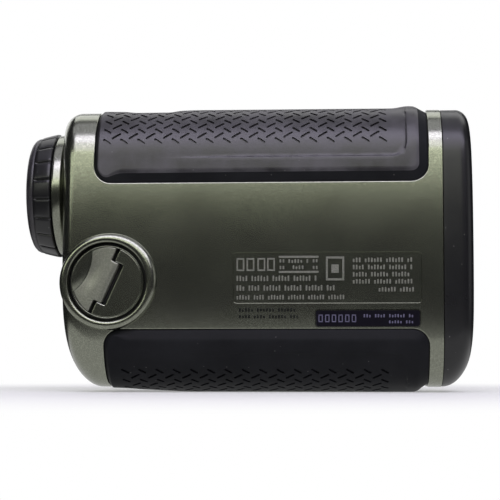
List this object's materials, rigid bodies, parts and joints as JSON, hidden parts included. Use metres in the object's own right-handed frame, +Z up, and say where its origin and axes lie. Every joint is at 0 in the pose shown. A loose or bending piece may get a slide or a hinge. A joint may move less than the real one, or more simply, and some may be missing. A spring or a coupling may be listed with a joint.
{
  "type": "laser rangefinder",
  "caption": "Pocket laser rangefinder monocular with stepped rubber grips, dioptre ring, hinged-tab battery cap and a stacked objective and receiver lens",
  "frame": {"origin": "under the middle of the bounding box, on the flat of the bottom grip that it stands on", "axes": "+X along the sight line towards the objective, +Y to the left of a user looking along it, +Z up"},
  "size_m": [0.109, 0.041, 0.071],
  "materials": {
    "olive_paint": "olive metallic paint, satin",
    "black_plastic": "black, satin",
    "grip_rubber": "soft black rubber, fine grain",
    "inner_black": "matt black",
    "steel": "bright steel",
    "insert_brass": "turned brass",
    "plate_purple": "blue-black printed label plate",
    "optical_glass": "clear glass",
    "coated_glass": "violet coated glass",
    "receiver_glass": "dark red filter glass",
    "chassis_alloy": "die-cast, blackened",
    "circuit_board": "green solder mask",
    "chip_black": "moulded epoxy",
    "flex_amber": "polyimide ribbon",
    "gold_can": "gold plated",
    "display_glass": "display glass",
    "cell_wrap": "wrapped lithium cell",
    "button_rubber": "black rubber",
    "seal_rubber": "black seal rubber",
    "tube_plastic": "black moulded plastic"
  },
  "bodies": {
    "device": {"right_housing": "olive_paint", "left_housing": "olive_paint", "front_bezel": "black_plastic", "bezel_gasket": "seal_rubber", "top_grip": "grip_rubber", "bottom_grip": "grip_rubber", "serial_plate": "plate_purple", "tripod_insert": "insert_brass", "housing_screws": "steel", "lanyard_bar": "steel", "eyepiece_collar": "olive_paint", "ocular_sleeve": "inner_black", "objective_cell": "inner_black", "objective_lens": "coated_glass", "objective_retainer": "inner_black", "receiver_cell": "inner_black", "receiver_lens": "receiver_glass", "receiver_retainer": "inner_black", "optics_chassis": "chassis_alloy", "half_penta_prism": "optical_glass", "roof_prism": "optical_glass", "prism_clip": "steel", "display_lcd": "display_glass", "main_board": "circuit_board", "board_chips": "chip_black", "board_screws": "steel", "display_flex": "flex_amber", "laser_board": "circuit_board", "laser_diode": "gold_can", "detector_board": "circuit_board", "detector_can": "gold_can", "switch_board": "circuit_board", "power_switch": "steel", "mode_switch": "steel", "battery_tube": "tube_plastic", "battery_spring": "steel"},
    "eyepiece_focus": {"ocular_field_lens": "optical_glass", "ocular_retainer": "inner_black"},
    "eyepiece_ring": {"dioptre_ring": "black_plastic", "eyecup": "black_plastic", "ocular_cell": "inner_black", "ocular_eye_lens": "optical_glass"},
    "power_key": {"power_button": "button_rubber"},
    "mode_key": {"mode_button": "button_rubber"},
    "cell": {"battery": "cell_wrap"},
    "cap_carrier": {"cap_contact": "gold_can"},
    "cap": {"battery_cap": "olive_paint", "cap_oring": "seal_rubber", "cap_hinge_pin": "steel"},
    "tab": {"cap_tab": "olive_paint"}
  },
  "joints": [
    {"name": "eyepiece_travel", "type": "slide", "parent": "device", "child": "eyepiece_focus", "axis": [-1, 0, 0], "range_m": [0, 0.0015]},
    {"name": "eyepiece_turn", "type": "hinge", "parent": "eyepiece_focus", "child": "eyepiece_ring", "pos_m": [-0.05, 0, 0.0494], "axis": [-1, 0, 0], "range_deg": [0, 270]},
    {"name": "power_press", "type": "slide", "parent": "device", "child": "power_key", "axis": [0, 0, -1], "range_m": [0, 0.0008], "stiffness_N_per_m": 1500},
    {"name": "mode_press", "type": "slide", "parent": "device", "child": "mode_key", "axis": [0, -1, 0], "range_m": [0, 0.0005], "stiffness_N_per_m": 1500},
    {"name": "battery_rise", "type": "slide", "parent": "device", "child": "cell", "axis": [0, -1, 0], "range_m": [0, 0.0016]},
    {"name": "cap_travel", "type": "slide", "parent": "device", "child": "cap_carrier", "axis": [0, -1, 0], "range_m": [0, 0.0063]},
    {"name": "cap_turn", "type": "hinge", "parent": "cap_carrier", "child": "cap", "pos_m": [-0.0331, -0.019, 0.0264], "axis": [0, -1, 0], "range_deg": [0, 1080]},
    {"name": "tab_lift", "type": "hinge", "parent": "cap", "child": "tab", "pos_m": [-0.03305, -0.0183, 0.02638], "axis": [0.4131, 0, 0.9107], "range_deg": [0, 95]}
  ],
  "couplings": [
    {"joint": "eyepiece_turn", "follows": "eyepiece_travel", "rad_per_m": 3141.6},
    {"joint": "cap_turn", "follows": "cap_travel", "rad_per_m": 2992},
    {"joint": "battery_rise", "follows": "cap_travel", "ratio": 0.25397}
  ]
}
